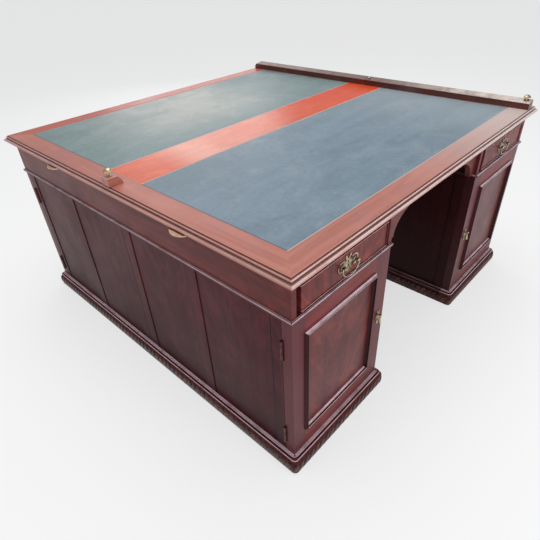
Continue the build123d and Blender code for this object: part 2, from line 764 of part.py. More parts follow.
side_low = runner_top + slide_gap
side_high = drawer_high - side_drop
side_height = side_high - side_low
outer_left = opening_left + side_play
outer_right = opening_right - side_play
box_width = outer_right - outer_left
bottom_z = side_low + drawer_bottom_lift
side_groove = 5.0
box_y = -(box_front + box_back) / 2
with BuildPart() as bottom_slot:
    with Locations((left_x, box_y, bottom_z + drawer_bottom / 2)):
        Box(box_width - 2 * drawer_board + 2 * side_groove, drawer_depth, drawer_bottom)
with BuildPart() as drawer_sides:
    with Locations((outer_left + drawer_board / 2, box_y, (side_low + side_high) / 2),
                   (outer_right - drawer_board / 2, box_y, (side_low + side_high) / 2)):
        Box(drawer_board, drawer_depth, side_height)
    add(bottom_slot.part, mode=Mode.SUBTRACT)
with BuildPart() as drawer_back:
    back_low = bottom_z + drawer_bottom
    with Locations((left_x, -box_back - drawer_board / 2 - 4, (back_low + side_high - 4) / 2)):
        Box(box_width - 2 * drawer_board, drawer_board, side_high - 4 - back_low)
drawer_sides.part = gather(drawer_sides, drawer_back, bottom_slot)
export_corners(drawer_sides, "drawer_box")

# ---------------------------------------------------------------- drawer handles

plate_y = face_y + plate_thickness
stud_y = plate_y + stud_reach
handle_z = drawer_mid + 2


def stud_outline(radius, reach, ball):
    """Half section of a cast stud: collar on the plate, shank and ball end, outward along -Y."""
    waist = (ball**2 - radius**2) ** 0.5
    with BuildLine() as outline:
        Polyline((0, 0), (ball, 0), (ball, -1.2), (radius, -2.6), (radius, waist - reach))
        RadiusArc((radius, waist - reach), (0, -reach - ball), ball)
        Line((0, -reach - ball), (0, 0))
    return outline.line


with BuildPart() as handle_plate:
    with BuildSketch(Plane((left_x, -face_y, handle_z), x_dir=(1, 0, 0), z_dir=(0, -1, 0))):
        # Winged cartouche with a pair of horns above and a pendant leaf below.
        with Locations((0, 1)):
            Ellipse(12, 14)
        with Locations((0, -17)):
            Ellipse(5, 10)
        for way in (-1, 1):
            with Locations(Location((way * 15, 5), -way * 14)):
                Ellipse(13, 5.2)
            with Locations(Location((way * 7, 18), -way * 24)):
                Ellipse(4.2, 11)
            with Locations(Location((way * 9, -12), way * 38)):
                Ellipse(3.6, 9)
            # Scroll round each stud, open below and inward, with the boss in its eye.
            with BuildSketch(Plane.XY, mode=Mode.PRIVATE) as scroll:
                with Locations((way * stud_pitch / 2, 0)):
                    Circle(17)
                    Circle(12.6, mode=Mode.SUBTRACT)
                with Locations(Location((way * (stud_pitch / 2 - 13), -13), -way * 40)):
                    Rectangle(13, 26, mode=Mode.SUBTRACT)
            add(scroll.sketch)
            with Locations((way * stud_pitch / 2, 0)):
                Circle(6.4)
            with Locations((way * (stud_pitch / 2 - 9), 1)):
                Rectangle(14, 5)
            with Locations(Location((way * (stud_pitch / 2 + 2), -14.6), way * 78)):
                Ellipse(3.4, 6.5)
            with Locations(Location((way * (stud_pitch / 2 - 9), 13), -way * 60)):
                Ellipse(3.2, 7)
        with Locations((0, 7), (0, -6)):
            Ellipse(2.6, 4.4, mode=Mode.SUBTRACT)
    extrude(amount=plate_thickness)
    for way in (-1, 1):
        stud_x = left_x + way * stud_pitch / 2
        with BuildSketch(Plane((stud_x, -plate_y, handle_z), x_dir=(1, 0, 0), z_dir=(0, 0, 1))):
            with BuildLine():
                add(stud_outline(stud_radius, stud_reach, stud_ball))
            make_face()
        revolve(axis=Axis((stud_x, 0, handle_z), (0, 1, 0)))
        with Locations(Location((stud_x, -stud_y, handle_z), (0, 90, 0))):
            Cylinder(bail_radius + bail_clear, 4 * stud_ball, mode=Mode.SUBTRACT)
export_corners(handle_plate, "handle_plate")

with BuildPart() as bail:
    half = stud_pitch / 2
    points = [(half - 3, 0), (half + 9, 0), (half + 8, -14), (half - 10, -bail_drop)]
    points += [(-x, z) for x, z in reversed(points)]
    with BuildLine(Plane((left_x, -stud_y, handle_z), x_dir=(1, 0, 0), z_dir=(0, -1, 0))) as bail_path:
        FilletPolyline(*points, radius=(4, 18, 36, 36, 18, 4))
    with BuildSketch(Plane((left_x + half - 3, -stud_y, handle_z), z_dir=(1, 0, 0))):
        Circle(bail_radius)
    sweep(path=bail_path.wires()[0])
    with Locations((left_x, -stud_y, handle_z - bail_drop)):
        Sphere(bail_knop, rotation=(0, 90, 0))
export_corners(bail, "bail")

# ---------------------------------------------------------------- door pulls

pull_x = -inner_x - pull_inset
pull_height = panel_mid
pull_stud_y = plate_y + pull_stud_reach
pull_stud_z = pull_height + pull_stud_lift
with BuildPart() as pull_plate:
    with BuildSketch(Plane((pull_x, -face_y, pull_height), x_dir=(1, 0, 0), z_dir=(0, -1, 0))):
        with Locations((0, pull_stud_lift)):
            Circle(9)
        with Locations((0, -8)):
            Ellipse(8, 20)
        for way in (-1, 1):
            with Locations(Location((way * 10, 6), way * 35)):
                Ellipse(3.4, 11)
            with Locations(Location((way * 5, 25), -way * 25)):
                Ellipse(2.8, 7)
        with Locations((0, -10)):
            Ellipse(3, 8, mode=Mode.SUBTRACT)
    extrude(amount=plate_thickness)
    with BuildSketch(Plane((pull_x, -plate_y, pull_stud_z), x_dir=(1, 0, 0), z_dir=(0, 0, 1))):
        with BuildLine():
            add(stud_outline(pull_stud_radius, pull_stud_reach, pull_ball))
        make_face()
    revolve(axis=Axis((pull_x, 0, pull_stud_z), (0, 1, 0)))
    with Locations(Location((pull_x, -pull_stud_y, pull_stud_z), (0, 90, 0))):
        Cylinder(drop_wire + bail_clear, 20, mode=Mode.SUBTRACT)
export_corners(pull_plate, "pull_plate")

drop_face = Plane((pull_x, -pull_stud_y, pull_stud_z), x_dir=(1, 0, 0), z_dir=(0, -1, 0))
with BuildPart() as pull_drop:
    points = [(1.5, 0), (8, 0), (7, -8), (0, -13), (-7, -8), (-8, 0), (-1.5, 0)]
    with BuildLine(drop_face) as drop_path:
        FilletPolyline(*points, radius=(2.6, 3, 3, 3, 2.6))
    with BuildSketch(Plane((pull_x + 1.5, -pull_stud_y, pull_stud_z), z_dir=(1, 0, 0))):
        Circle(drop_wire)
    sweep(path=drop_path.wires()[0])
    with BuildSketch(drop_face):
        with BuildLine():
            Line((0, -drop_length), (0, -11))
            Line((0, -11), (2, -12))
            # Slender neck swelling to a round drop.
            RadiusArc((2, -12), (drop_ball * 0.8, drop_ball * 1.6 - drop_length), 24)
            RadiusArc((drop_ball * 0.8, drop_ball * 1.6 - drop_length), (0, -drop_length), drop_ball)
        make_face()
    revolve(axis=Axis((pull_x, -pull_stud_y, 0), (0, 0, 1)))
export_corners(pull_drop, "pull_drop")
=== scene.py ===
"""A mahogany partners' desk: its polished timbers, desk leather and old brass."""
import math
import random

import bmesh
import bpy
from mathutils import Matrix, Vector


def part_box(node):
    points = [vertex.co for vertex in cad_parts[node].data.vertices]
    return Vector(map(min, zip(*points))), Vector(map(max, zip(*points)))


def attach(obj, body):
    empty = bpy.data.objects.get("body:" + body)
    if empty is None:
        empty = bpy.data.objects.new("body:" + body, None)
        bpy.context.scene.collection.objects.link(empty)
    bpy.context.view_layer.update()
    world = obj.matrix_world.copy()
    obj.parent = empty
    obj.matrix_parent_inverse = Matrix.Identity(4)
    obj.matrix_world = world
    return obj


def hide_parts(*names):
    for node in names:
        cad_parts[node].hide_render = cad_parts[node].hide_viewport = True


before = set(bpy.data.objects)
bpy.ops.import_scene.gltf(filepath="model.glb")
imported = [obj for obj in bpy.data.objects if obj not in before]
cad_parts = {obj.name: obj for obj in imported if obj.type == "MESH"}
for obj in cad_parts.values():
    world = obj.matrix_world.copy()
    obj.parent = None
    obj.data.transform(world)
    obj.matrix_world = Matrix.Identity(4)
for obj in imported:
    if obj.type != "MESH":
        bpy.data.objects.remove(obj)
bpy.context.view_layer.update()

LENGTHWAYS, DEEP, UPRIGHT = 0, 1, 2  # the desk's own directions, as numbers of an axis
SAME_SPOT = 1e-5                     # corners closer than this are one corner, in metres
ON_MITRE = 2e-5                      # a spot closer than this to a mitre lies on it
CORNERS = [end + "_" + side for end in ("front", "rear") for side in ("left", "right")]


# ---------------------------------------------------------------- colours and finishes

def shade(red, green, blue):
    """A colour as a painter's 0 to 255 mix, turned to the linear values that a shader takes."""
    linear = []
    for part in (red, green, blue):
        part /= 255
        linear.append(part / 12.92 if part <= 0.04045 else ((part + 0.055) / 1.055) ** 2.4)
    return (*linear, 1.0)


def deepened(colour, red, green, blue):
    """A colour with only a share of each of its parts."""
    return (colour[0] * red, colour[1] * green, colour[2] * blue, 1)


HAZE = shade(128, 112, 122)          # old polish gone milky
DULL_UPRIGHT = shade(90, 43, 49)
# Paler, greyer front border and redder rear border: partly fading, partly painted sky reflection.
BLEACHED_SHEEN = shade(206, 194, 188)
REAR_BORDER_RED = shade(172, 58, 28)
# Pale strip veneer: painted glare; orange strip veneer: its own colour, deepened where less sky reflects.
PAINTED_GLARE = shade(226, 196, 178)
ORANGE_VENEER = shade(212, 62, 20)
SEAM_DARK = shade(30, 12, 14)
# Painted shade for the boards inside the kneehole.
KNEEHOLE_SHADE = shade(36, 13, 13)


class Finish:
    """One finish and the nodes that make it."""

    AMOUNT, UNDER, OVER, MIXED = 0, 6, 7, 2  # the colour sockets of a Mix node

    def __init__(self, name, **polish):
        self.material = bpy.data.materials.new(name)
        self.material.use_nodes = True
        self.tree = self.material.node_tree
        self.shader = self.tree.nodes["Principled BSDF"]
        for socket, value in polish.items():
            self.shader.inputs[socket.replace("_", " ")].default_value = value

    def feed(self, socket, value):
        """Wires another node's result to a socket, or sets the socket to a plain value."""
        if isinstance(value, bpy.types.NodeSocket):
            self.tree.links.new(value, socket)
        else:
            socket.default_value = value

    def add(self, kind, wires=None, **settings):
        """A new node of a kind, with its settings and with its sockets fed."""
        node = self.tree.nodes.new("ShaderNode" + kind)
        for name, value in settings.items():
            setattr(node, name, value)
        for socket, value in (wires or {}).items():
            self.feed(node.inputs[socket], value)
        return node

    def place(self):
        """Where the surface is on the desk, in metres."""
        return self.add("TexCoord").outputs["Object"]

    def carried(self, name, kind="Fac"):
        """A value that the piece carries on its own faces or points."""
        return self.add("Attribute", attribute_name=name).outputs[kind]

    def apart(self, where):
        """A place or direction as its three parts."""
        return self.add("SeparateXYZ", {0: where}).outputs

    def joined(self, along, across, through):
        """Three parts as one place or direction."""
        return self.add("CombineXYZ", {0: along, 1: across, 2: through}).outputs[0]

    def scaled(self, where, along, across, through):
        """A place in which a pattern repeats more often, each way by its own number of times."""
        return self.add("VectorMath", {0: where, 1: (along, across, through)}, operation="MULTIPLY").outputs[0]

    def noise(self, where, scale=1.0, detail=2.0, rough=0.5, twist=0.0):
        """Clouds from nought to one, scale of them to the metre."""
        node = self.add("TexNoise", {"Vector": where, "Scale": scale, "Detail": detail,
                                     "Roughness": rough, "Distortion": twist})
        return node.outputs[0]

    def reckon(self, way, first, second=0.0):
        """One sum, for the named sums below."""
        return self.add("Math", {0: first, 1: second}, operation=way).outputs[0]

    def times(self, first, second):
        return self.reckon("MULTIPLY", first, second)

    def plus(self, first, second):
        return self.reckon("ADD", first, second)

    def minus(self, first, second):
        return self.reckon("SUBTRACT", first, second)

    def larger(self, first, second):
        return self.reckon("MAXIMUM", first, second)

    def smaller(self, first, second):
        return self.reckon("MINIMUM", first, second)

    def distance(self, value):
        """How far a value is from nought, whichever side it lies on."""
        return self.reckon("ABSOLUTE", value)

    def between(self, value, low, high, out_low=0.0, out_high=1.0):
        """The value, spread from one range to another and held inside it."""
        node = self.add("MapRange", {0: value, 1: low, 2: high, 3: out_low, 4: out_high})
        node.interpolation_type = "SMOOTHSTEP"
        return node.outputs[0]

    def mix(self, amount, under, over):
        """The colour under, with an amount of the colour over laid on it."""
        node = self.add("Mix", data_type="RGBA")
        self.feed(node.inputs[self.AMOUNT], amount)
        self.feed(node.inputs[self.UNDER], under)
        self.feed(node.inputs[self.OVER], over)
        return node.outputs[self.MIXED]

    def coat(self, colour, roughness, height, depth, strength):
        """Wires the colour, the gloss and the fine relief to the shader."""
        self.feed(self.shader.inputs["Base Color"], colour)
        self.feed(self.shader.inputs["Roughness"], roughness)
        bump = self.add("Bump", {"Strength": strength, "Distance": depth, "Height": height})
        self.feed(self.shader.inputs["Normal"], bump.outputs[0])
        return self.material


def flamed(wood, colour, heart, bright, figure, grain, board, waver):
    """A flame that climbs along the board and falls away to both sides, over a fine mottle."""
    along, across, _ = wood.apart(board)
    aside = wood.distance(wood.plus(across, wood.times(waver, 0.05)))
    climb = wood.minus(along, wood.times(aside, 1.5))
    plume = wood.joined(wood.times(climb, 17.0), wood.times(across, 9.0), wood.times(waver, 1.5))
    flame = wood.noise(plume, 1.0, detail=4, rough=0.62, twist=0.6)
    mottle = wood.noise(wood.scaled(grain, 9, 22, 22), detail=4, rough=0.7)
    colour = wood.mix(wood.times(wood.between(flame, 0.44, 0.68), figure), colour, bright)
    return wood.mix(wood.times(wood.between(mottle, 0.5, 0.7), figure * 0.55), colour, heart)


def aged(wood, colour, heart, board, place, clouds, weathered, bleach_and_sheen, glare_and_fade, foot_shade, seam):
    """What the years have done to the colour, together with painted sky reflection, glare and shade, by where a
    board lies on the desk.
    """
    x, y, z = place
    if weathered:
        # Upright boards have gone duller than the boards that lie across them.
        colour = wood.mix(wood.times(wood.carried("upright"), weathered), colour, DULL_UPRIGHT)
    if bleach_and_sheen:
        # The front border grows paler and greyer towards the gallery, partly bleaching and partly a painted sky
        # reflection; the back border is painted redder, partly its kept colour and partly standing for the sky
        # reflection that it lacks.
        front_border = wood.times(wood.between(y, -0.60, -0.66), wood.between(x, -0.35, 0.85))
        colour = wood.mix(wood.times(front_border, bleach_and_sheen), colour, BLEACHED_SHEEN)
        behind_mitres = wood.minus(y, wood.distance(x))
        colour = wood.mix(wood.between(behind_mitres, 0.003, 0.007, 0.0, 0.65 * bleach_and_sheen), colour, REAR_BORDER_RED)
    if glare_and_fade:
        # Painted glare: the veneer is palest left of its middle, where the sky reflects in it; towards the
        # gallery it is a deeper orange, partly its own colour and partly standing for less reflection there.
        ragged_x = wood.plus(x, wood.times(wood.minus(clouds, 0.5), 0.1))
        pale = wood.times(wood.between(ragged_x, -0.57, -0.43), wood.between(ragged_x, -0.25, -0.42, 0.45, 1.0))
        pale = wood.times(pale, wood.between(ragged_x, 0.12, -0.08, 0.0, glare_and_fade))
        colour = wood.mix(pale, colour, PAINTED_GLARE)
        colour = wood.mix(wood.between(ragged_x, 0.0, 0.45, 0.0, 1.5 * glare_and_fade), colour, ORANGE_VENEER)
    if foot_shade:
        # Painted shade: the foot of the boards is darker, where it lies in shade near the floor.
        height = wood.plus(z, wood.times(clouds, 0.2))
        colour = wood.mix(wood.between(height, 0.60, 0.14, 0.0, foot_shade), colour, deepened(heart, 0.4, 0.5, 0.5))
    if seam:
        # A dark line along each long edge of a panel, where it meets its stiles.
        across = wood.apart(board)[1]
        line = wood.larger(wood.between(across, seam - 0.0022, seam - 0.0012),
                           wood.between(across, 0.0062 - seam, 0.0048 - seam))
        colour = wood.mix(wood.times(line, 0.9), colour, SEAM_DARK)
    return colour


def timber(name, heart, sap, bright, worn_and_lit, figure=0.0, stripes=0.6, gloss=0.30, veil=0.20, near_highlight=0.0,
           weathered=0.0, bleach_and_sheen=0.0, glare_and_fade=0.0, foot_shade=0.0, seam=0.0, shaded=0.0, kneehole=(0.322, 0.737),
           **polish):
    """Mahogany: ribbon stripe, fibre and pores along the board, a flame where it is figured, wear and painted
    highlights on its arrises and crests, and wax and painted shade in its hollows.

    heart, sap and bright are the wood's own colours, worn the colour that wear and painted highlights give its
    edges and crests. figure, stripes and veil say how strong the flame, the rings and the milky haze are. sunned
    is how far the painted highlight on the top slopes fades away from the near end, weathered how far the years
    have dulled the upright boards, bleached how far the front border is paled and the rear one reddened, partly
    as fading and partly as painted sky reflection, patchy how strongly a strip gets a painted glare left of its
    middle and a deeper orange towards the gallery, dusk how much painted shade darkens the foot of the boards,
    and shaded how much painted shade darkens the boards in the kneehole. seam is half the width of a panel that
    has a dark line along its long edges, and kneehole is how far from the desk's middle the kneehole's shaded
    boards stand, to the side and to the front, in metres.
    """
    wood = Finish(name, **polish)
    grain, board = wood.carried("grain", "Vector"), wood.carried("board", "Vector")
    edge, crest, hollow = wood.carried("arris"), wood.carried("crest"), wood.carried("hollow")
    place = wood.place()
    x, y, z = wood.apart(place)
    if near_highlight:
        # Painted highlight: the pale top slopes are brightest at the near end and fade towards the far end.
        crest = wood.times(crest, wood.between(y, -0.05, -0.75, 1 - near_highlight, 1.0))
    # All of these run along the board: a slow waver, ribbon stripe, year rings, fibre and pores.
    waver = wood.noise(wood.scaled(grain, 2.5, 7, 7), detail=2)
    drift = wood.joined(0.0, wood.times(waver, 0.06), wood.times(waver, 0.04))
    lines = wood.add("VectorMath", {0: grain, 1: drift}, operation="ADD").outputs[0]
    ribbon = wood.noise(wood.scaled(lines, 1.1, 34, 34), detail=3, rough=0.6)
    rings = wood.noise(wood.scaled(lines, 1.8, 110, 110), detail=3, rough=0.65)
    fibre = wood.noise(wood.scaled(grain, 16, 900, 900), detail=2, rough=0.6)
    pores = wood.between(wood.noise(wood.scaled(grain, 60, 1500, 1500), detail=1), 0.62, 0.76)
    # These lie over the whole desk, whatever the boards do.
    clouds = wood.noise(place, 3.2, detail=4, rough=0.6)
    stain = wood.noise(place, 9.0, detail=5, rough=0.65, twist=0.3)
    colour = wood.mix(wood.between(ribbon, 0.32, 0.70), heart, sap)
    colour = wood.mix(wood.times(wood.between(rings, 0.44, 0.74), stripes), colour, bright)
    if figure:
        colour = flamed(wood, colour, heart, bright, figure, grain, board, waver)
    colour = wood.mix(wood.between(clouds, 0.42, 0.72, 0.0, 0.45), colour, heart)
    colour = wood.mix(wood.between(stain, 0.50, 0.70, 0.0, 0.5 if figure else 0.35), colour, bright)
    bloom = wood.noise(place, 4.2, detail=3, rough=0.55)
    colour = wood.mix(wood.between(bloom, 0.50, 0.72, 0.0, veil), colour, HAZE)
    colour = wood.mix(wood.times(pores, 0.45), colour, deepened(heart, 0.35, 0.3, 0.3))
    colour = aged(wood, colour, heart, board, (x, y, z), clouds, weathered, bleach_and_sheen, glare_and_fade, foot_shade, seam)
    if shaded:
        # Painted shade: the boards inside the kneehole, which lies in shadow, are darkened and their pale crests
        # dimmed.
        aside, ahead = kneehole
        inside = wood.times(wood.between(wood.distance(x), aside + 0.0006, aside),
                            wood.between(wood.distance(y), ahead + 0.0005, ahead))
        inside = wood.times(inside, shaded)
        colour = wood.mix(inside, colour, KNEEHOLE_SHADE)
        crest = wood.times(crest, wood.minus(1.0, inside))
    # Dark wax and painted shade in the hollows, and wear and painted highlights on crests and arrises, which are
    # also the glossiest.
    wear = wood.between(wood.noise(place, 22, detail=4), 0.25, 0.60, 0.55, 1.0)
    colour = wood.mix(wood.times(hollow, 0.93), colour, deepened(heart, 0.22, 0.18, 0.18))
    rub_and_highlight = wood.times(wood.larger(wood.times(edge, 0.85), crest), wear)
    colour = wood.mix(wood.times(rub_and_highlight, 0.86), colour, worn_and_lit)
    dull = wood.plus(wood.between(clouds, 0.3, 0.75, gloss - 0.05, gloss + 0.09), wood.times(fibre, 0.06))
    dull = wood.minus(dull, wood.times(crest, 0.08))
    relief = wood.minus(wood.times(fibre, 0.35), pores)
    return wood.coat(colour, dull, relief, depth=0.00025, strength=0.35)


def points_of(node):
    """The corners of a node's own mesh, in metres."""
    return [point.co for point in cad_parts[node].data.vertices]


panel_ends = sorted({round(point.y, 5) for point in points_of("pedestal_panels")})
panel_half = (panel_ends[1] - panel_ends[0]) / 2
LOW_SHEEN = {"Coat_Weight": 0.03, "Coat_Roughness": 0.2, "Specular_IOR_Level": 0.14}

mahogany = timber(
    "mahogany", shade(84, 34, 36), shade(104, 43, 44), shade(134, 58, 50), shade(228, 208, 216),
    figure=0.2, stripes=0.4, gloss=0.34, veil=0.06, shaded=0.75, **LOW_SHEEN)
dark_figured = timber(
    "figured_mahogany", shade(62, 24, 30), shade(80, 32, 39), shade(106, 44, 46), shade(150, 112, 110),
    figure=0.3, stripes=0.25, gloss=0.34, veil=0.05, shaded=0.75, seam=panel_half, foot_shade=0.5,
    Coat_Weight=0.02, Coat_Roughness=0.2, Specular_IOR_Level=0.07)
door_figured = timber(
    "door_mahogany", shade(76, 32, 35), shade(96, 41, 44), shade(138, 66, 57), shade(226, 196, 194),
    figure=0.4, stripes=0.25, gloss=0.32, veil=0.05, **LOW_SHEEN)
drawer_figured = timber(
    "drawer_mahogany", shade(84, 33, 34), shade(112, 44, 44), shade(158, 72, 62), shade(226, 196, 194),
    figure=0.45, stripes=0.25, gloss=0.32, veil=0.08, **LOW_SHEEN)
door_plain = timber(
    "door_frame_mahogany", shade(98, 35, 36), shade(124, 46, 47), shade(146, 60, 57), shade(222, 200, 208),
    stripes=0.35, gloss=0.32, veil=0.08, shaded=0.7, kneehole=(0.3074, 0.769), weathered=0.75, foot_shade=0.2,
    **LOW_SHEEN)
faded = timber(
    "faded_mahogany", shade(162, 96, 82), shade(178, 112, 98), shade(194, 128, 110), shade(216, 196, 192),
    stripes=0.2, gloss=0.33, bleach_and_sheen=0.85, Coat_Weight=0.12, Coat_Roughness=0.22, Specular_IOR_Level=0.32)
gallery_wood = timber(
    "gallery_mahogany", shade(72, 31, 25), shade(94, 44, 34), shade(116, 54, 40), shade(238, 226, 214),
    stripes=0.4, gloss=0.26, near_highlight=0.8, Coat_Weight=0.2, Coat_Roughness=0.16, Specular_IOR_Level=0.3)
strip_veneer = timber(
    "strip_veneer", shade(190, 70, 34), shade(208, 87, 44), shade(226, 114, 66), shade(232, 170, 144),
    figure=0.2, stripes=0.35, gloss=0.30, glare_and_fade=0.34, Coat_Weight=0.15, Coat_Roughness=0.2,
    Specular_IOR_Level=0.3)
carcase_wood = timber(
    "carcase_wood", shade(124, 82, 54), shade(150, 104, 70), shade(168, 122, 84), shade(176, 136, 98),
    stripes=0.7, gloss=0.62, Specular_IOR_Level=0.3)


# ---------------------------------------------------------------- working on copies of the pieces

def in_scene(name, data):
    """A new object in the scene."""
    thing = bpy.data.objects.new(name, data)
    bpy.context.scene.collection.objects.link(thing)
    return thing


def copied(node):
    """A copy of a node's mesh to work on."""
    form = bmesh.new()
    form.from_mesh(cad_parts[node].data)
    return form


def merge(form, corners):
    """Joins those of the given corners that lie on one spot."""
    bmesh.ops.remove_doubles(form, verts=corners, dist=SAME_SPOT)


def clear_flat_edges(form):
    """Takes out the edges that a flat face doesn't need."""
    bmesh.ops.dissolve_limit(form, angle_limit=math.radians(0.4), verts=form.verts, edges=form.edges)


def sharp_edges(form, degrees):
    """The outward edges that turn by more than so many degrees."""
    return [edge for edge in form.edges if edge.is_manifold and edge.is_convex
            and edge.calc_face_angle(0) > math.radians(degrees)]


def soften(form, edges, width, steps):
    """Rounds the given edges and returns the faces that this makes."""
    made = bmesh.ops.bevel(form, geom=edges, offset=width, offset_type="OFFSET", segments=steps,
                           affect="EDGES", clamp_overlap=True, profile=0.5)
    return set(made["faces"])


def finished(form, name, finish, crisp):
    """The worked copy as a piece of the scene, shaded sharp where it turns by more than crisp degrees."""
    mesh = bpy.data.meshes.new(name)
    form.to_mesh(mesh)
    form.free()
    mesh.set_sharp_from_angle(angle=math.radians(crisp))
    mesh.materials.append(finish)
    return in_scene(name, mesh)


# ---------------------------------------------------------------- mitred rings of boards

def ring_of(low, high, one=LENGTHWAYS, other=DEEP):
    """A mitred ring that fills a box: its middle, its half sizes and the two ways that it runs."""
    size = high - low
    return (low + high) / 2, (size[one] / 2, size[other] / 2), one, other


def off_mitre(spot, ring):
    """How much farther a spot lies from the ring's end than from its side, which is nought on a mitre."""
    middle, half, one, other = ring
    return (half[0] - abs(spot[one] - middle[one])) - (half[1] - abs(spot[other] - middle[other]))


def on_mitre(edge, rings):
    """Whether an edge runs along a mitre, which stays crisp."""
    return any(all(abs(off_mitre(point.co, ring)) < ON_MITRE for point in edge.verts) for ring in rings)


def board_of(face, rings):
    """Which board of which mitred ring a face belongs to."""
    spot = face.calc_center_median()
    ring = min(rings, key=lambda entry: (spot - entry[0]).length)
    middle, _, one, other = ring
    way = spot - middle
    off = off_mitre(spot, ring)
    if abs(off) < ON_MITRE:  # a face on the joint itself belongs to the board that it closes
        at_end = face.normal[other] * math.copysign(1, way[other]) > face.normal[one] * math.copysign(1, way[one])
    else:
        at_end = off < 0
    return (tuple(middle), at_end, way[one] > 0 if at_end else way[other] > 0)


# ---------------------------------------------------------------- boards

# Sizes in metres.
ARRIS = 0.0008            # how much of an arris a hand has softened
CURVED_WITHIN = 0.03      # a face narrower than this belongs to a curve
WIDEST_MEMBER = 0.011     # a long face narrower than this is one member of a moulding
QUIRK = 0.0025            # a ledge narrower than this is a quirk, painted dark as wax and as painted shade
QUIRK_OVER_FOOT = 0.0145  # how far the plinth's quirk lies above its carving
STRETCH = 9               # how far apart in the tree two boards may be cut

# How far a face looks up: the upright part of its normal.
LEVEL = 0.92
LOOKS_UP = 0.2
LOOKS_DOWN = -0.25

# How sharply a face turns towards its neighbours, in radians; a hollow turns below nought.
COVE = -0.08
CORNER_OF_COVE = -0.5


def gather(start, seen, neighbours):
    """Everything that can be reached from a start, step by step."""
    seen.add(start)
    found, front = [start], [start]
    while front:
        for neighbour in neighbours(front.pop()):
            if neighbour not in seen:
                seen.add(neighbour)
                found.append(neighbour)
                front.append(neighbour)
    return found


def part_touching(form):
    """Splits boards that only touch into islands of their own."""
    def over_edges(face):
        return [other for edge in face.edges if len(edge.link_faces) == 2 for other in edge.link_faces]

    seen = set()
    groups = [gather(face, seen, over_edges) for face in form.faces if face not in seen]
    for group in groups[1:]:
        bmesh.ops.split(form, geom=group)


def islands(form):
    """The corners and the points of each island, in an order that depends only on where they lie."""
    def along_edges(point):
        return [other for edge in point.link_edges for other in edge.verts]

    found, seen = [], set()
    for start in form.verts:
        if start not in seen:
            island = gather(start, seen, along_edges)
            low = Vector([min(vert.co[axis] for vert in island) for axis in range(3)])
            high = Vector([max(vert.co[axis] for vert in island) for axis in range(3)])
            found.append((low, high, island))
    return sorted(found, key=lambda entry: [round(value, 4) for value in (*entry[0], *entry[1])])


def cut_ledges(form, ledges):
    """Cuts the faces where a ledge passes out from under the carcase, so that only the open part is painted pale,
    as a painted highlight.
    """
    for axis, at in ledges:
        across = Vector([1.0 if way == axis else 0.0 for way in range(3)])
        bmesh.ops.bisect_plane(form, geom=form.verts[:] + form.edges[:] + form.faces[:], dist=1e-6,
                               plane_co=across * at, plane_no=across)


def mark_wear_and_light(form, arrises, pale_top, on_door, dark_below, left_wear_and_highlight):
    """Tells every face how far it is painted pale (arris, crest: wear and painted highlight) or dark (hollow: wax
    and painted shade).
    """
    arris_layer = form.faces.layers.float.new("arris")
    crest_layer = form.faces.layers.float.new("crest")
    hollow_layer = form.faces.layers.float.new("hollow")
    for face in form.faces:
        # Slopes that face up are painted pale, as wear and as a painted highlight of the light from above, the
        # less so where they face left; coves, quirks and undersides are painted dark, as wax and as painted
        # shade.
        normal, height = face.normal, face.calc_center_median().z
        rise = min(max((normal.z - 0.05) / 0.6, 0.0), 1.0) * (left_wear_and_highlight if normal.x < -0.2 else 1.0)
        longest = max(edge.calc_length() for edge in face.edges)
        width = face.calc_area() / max(longest, 1e-6)
        face.smooth = width < CURVED_WITHIN
        if height < dark_below:
            face[hollow_layer] = 0.55
        elif face in arrises:
            face[arris_layer] = 0.12 + 0.88 * rise if normal.z > -0.05 else 0.0
        elif width < WIDEST_MEMBER and longest > 4 * width:
            bends = [(edge.calc_face_angle_signed(0), edge.calc_length())
                     for edge in face.edges if edge.is_manifold]
            bend = sum(angle * length for angle, length in bends) / max(longest, 1e-6)
            deepest = min((angle for angle, length in bends if length > 0.4 * longest), default=0.0)
            if normal.z > LEVEL:
                if width < QUIRK or height < dark_below + QUIRK_OVER_FOOT:
                    face[hollow_layer] = 0.5 if dark_below else 0.7
                else:
                    face[crest_layer] = 0.8 if dark_below else 0.7
            # On a door's moulding, slopes that face sideways get painted shade and slopes that face up a painted
            # highlight.
            elif on_door and abs(normal.x) > 0.3:
                face[hollow_layer] = 1.0
            elif on_door and normal.z > LOOKS_UP:
                face[crest_layer] = 1.0
            elif normal.z < LOOKS_DOWN or deepest < CORNER_OF_COVE or bend < COVE:
                face[hollow_layer] = 0.25 if on_door else 0.9
            else:
                face[crest_layer] = rise
        elif pale_top and LOOKS_UP < normal.z < 0.995:
            face[crest_layer] = pale_top


def lay_grain(form, node, along):
    """Gives every board its own length, breadth and thickness, and its own place in the tree."""
    grain_layer = form.verts.layers.float_vector.new("grain")
    board_layer = form.verts.layers.float_vector.new("board")
    upright_layer = form.verts.layers.float.new("upright")
    chance = random.Random(node)
    for low, high, island in islands(form):
        size, middle = high - low, (low + high) / 2
        order = sorted(range(3), key=lambda axis: -size[axis])
        if along is not None:
            order.remove(along)
            order.insert(0, along)
        shift = Vector([chance.uniform(-STRETCH, STRETCH) for axis in range(3)])
        for vert in island:
            own = vert.co - middle
            own = Vector([own[axis] for axis in order])
            vert[board_layer] = own
            vert[upright_layer] = float(order[0] == UPRIGHT)
            vert[grain_layer] = own + shift


